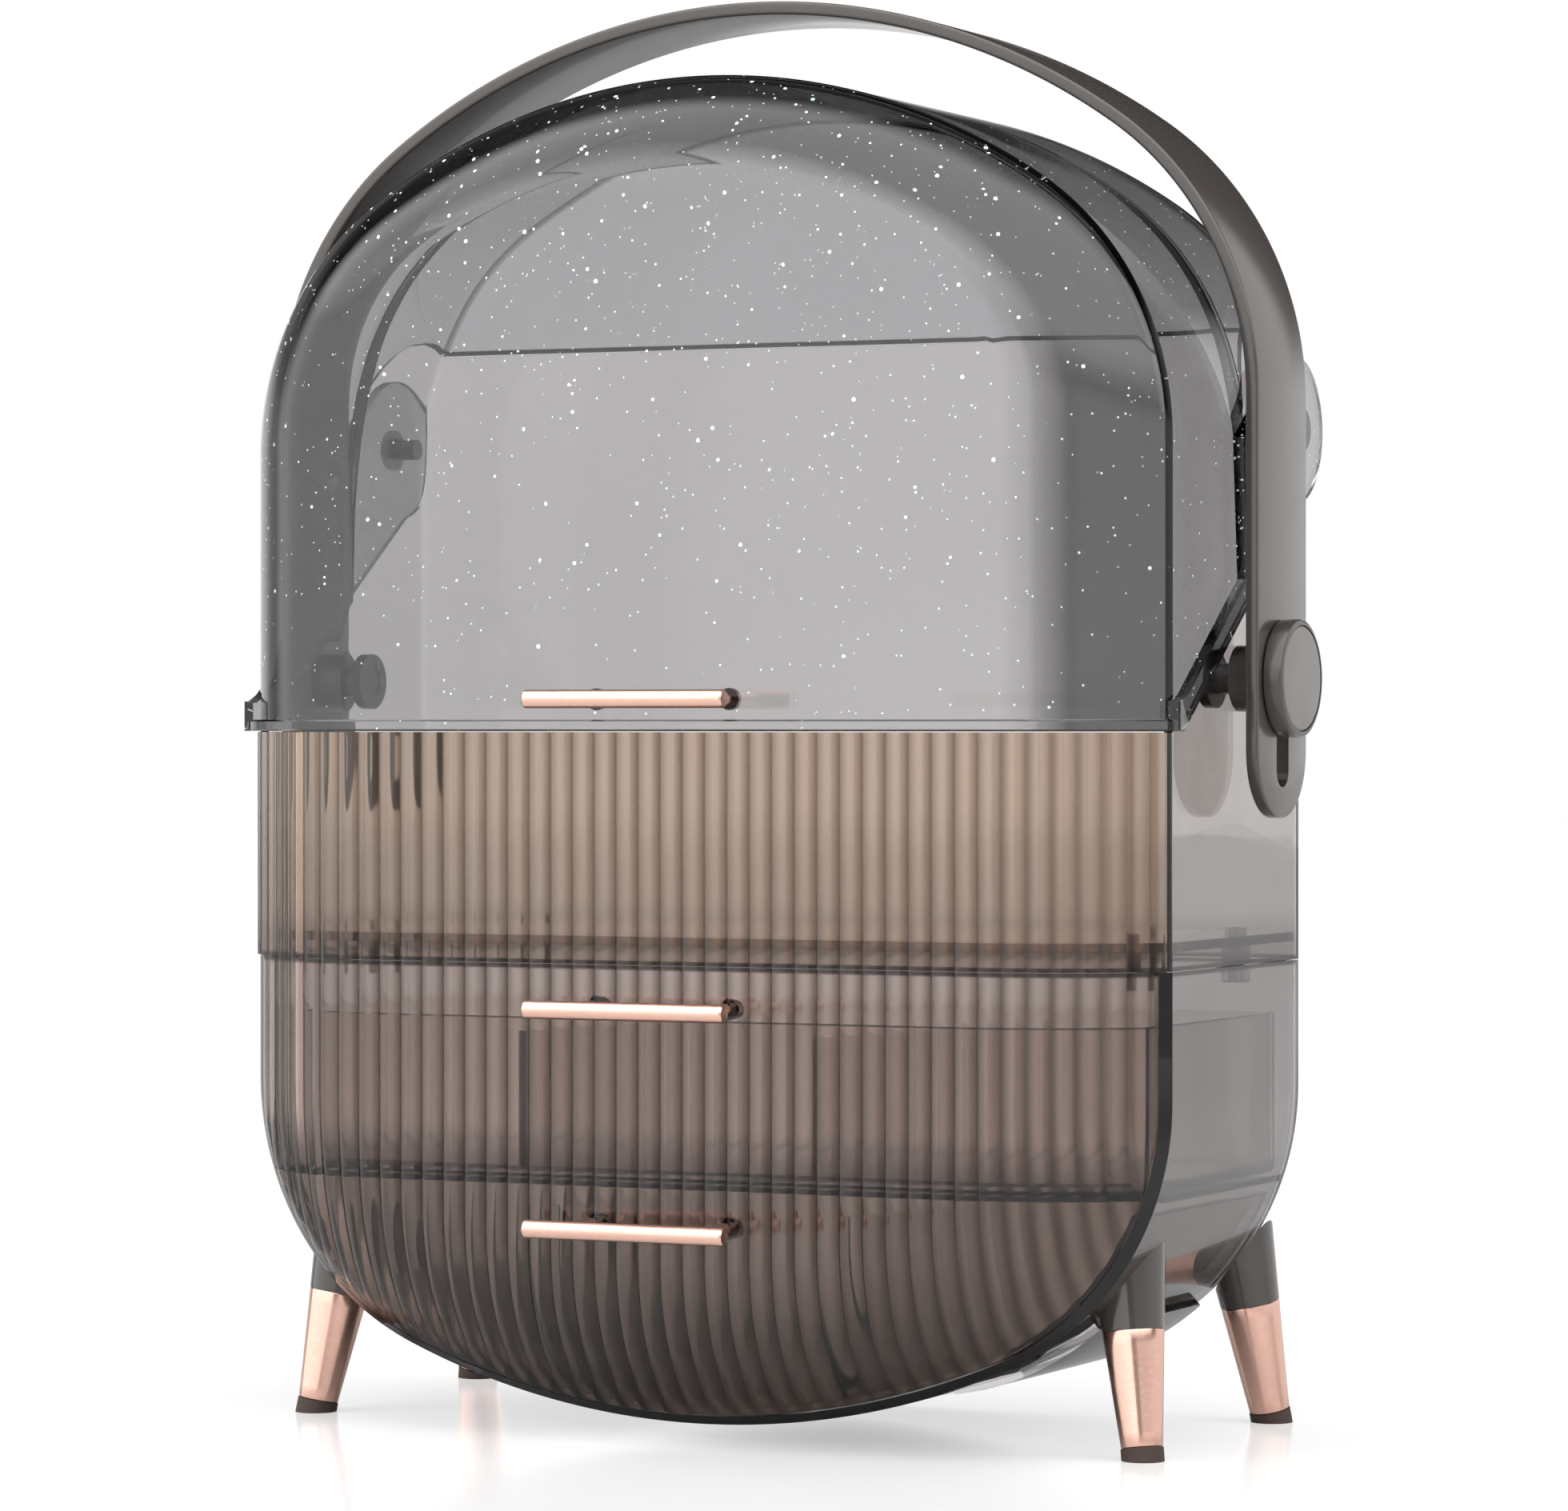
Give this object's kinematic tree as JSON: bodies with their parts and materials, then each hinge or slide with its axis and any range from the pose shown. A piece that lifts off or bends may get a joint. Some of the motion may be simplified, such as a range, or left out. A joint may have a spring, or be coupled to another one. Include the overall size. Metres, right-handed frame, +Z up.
{
  "type": "dustproof makeup organizer",
  "caption": "Smoked clear plastic cosmetics case with a rounded outline, a rear-hinged glitter lid over an open tray, fluted pillow-front drawers, a swinging carry handle and splayed legs.",
  "frame": {"origin": "centre of the bounding box, on the ground under the feet", "axes": "+Z up; -Y towards the front with the drawers and pulls; +X to the right of a viewer who faces the front"},
  "size_m": [0.317, 0.1588, 0.3982],
  "materials": {
    "tray_smoke": "polished, clear",
    "case_smoke": "polished, clear",
    "lid_smoke": "polished, clear, with glitter",
    "front_smoke": "polished, fluted",
    "box_smoke": "polished, clear",
    "divider_clear": "polished, clear",
    "handle_dark": "polished",
    "knob_satin": "satin",
    "rose_gold": "polished rose gold",
    "pad_rubber": "matt",
    "screw_steel": "bright"
  },
  "bodies": {
    "case": {"upper_tray": "tray_smoke", "drawer_case": "case_smoke", "drawer_shelf": "case_smoke", "case_screws": "screw_steel", "leg_socket_front_left": "case_smoke", "leg_socket_front_right": "case_smoke", "leg_socket_rear_left": "case_smoke", "leg_socket_rear_right": "case_smoke", "leg_sleeve_front_left": "rose_gold", "leg_sleeve_front_right": "rose_gold", "leg_sleeve_rear_left": "rose_gold", "leg_sleeve_rear_right": "rose_gold", "leg_pad_front_left": "pad_rubber", "leg_pad_front_right": "pad_rubber", "leg_pad_rear_left": "pad_rubber", "leg_pad_rear_right": "pad_rubber", "pivot_bush_left": "handle_dark", "pivot_bush_right": "handle_dark", "hinge_pin_left": "handle_dark", "hinge_pin_right": "handle_dark"},
    "lid": {"lid_shell": "lid_smoke", "lid_pull": "rose_gold", "lid_pull_screws": "screw_steel"},
    "pivots": {"handle_knob_left": "handle_dark", "handle_knob_right": "handle_dark", "knob_cover_left": "knob_satin", "knob_cover_right": "knob_satin", "pivot_nut_left": "handle_dark", "pivot_nut_right": "handle_dark"},
    "handle": {"carry_handle": "handle_dark"},
    "upper_drawer": {"drawer_upper_front": "front_smoke", "drawer_upper_box": "box_smoke", "drawer_upper_pull": "rose_gold", "upper_pull_screws": "screw_steel", "upper_divider_left": "divider_clear", "upper_divider_right": "divider_clear"},
    "lower_drawer": {"drawer_lower_front": "front_smoke", "drawer_lower_box": "box_smoke", "drawer_lower_pull": "rose_gold", "lower_pull_screws": "screw_steel", "lower_divider_left": "divider_clear", "lower_divider_right": "divider_clear"}
  },
  "joints": [
    {"name": "lid_hinge", "type": "hinge", "parent": "case", "child": "lid", "pos_m": [0, 0.05117, 0.278], "axis": [-1, 0, 0], "range_deg": [0, 90]},
    {"name": "handle_swing", "type": "hinge", "parent": "case", "child": "pivots", "pos_m": [0, 0.01667, 0.2088], "axis": [-1, 0, 0], "range_deg": [0, 135]},
    {"name": "handle_lift", "type": "slide", "parent": "pivots", "child": "handle", "axis": [0, 0, 1], "range_m": [0, 0.025]},
    {"name": "upper_drawer_slide", "type": "slide", "parent": "case", "child": "upper_drawer", "axis": [0, -1, 0], "range_m": [0, 0.075]},
    {"name": "lower_drawer_slide", "type": "slide", "parent": "case", "child": "lower_drawer", "axis": [0, -1, 0], "range_m": [0, 0.075]}
  ],
  "couplings": [
    {"joint": "handle_swing", "follows": "lid_hinge", "ratio": 1.5}
  ]
}
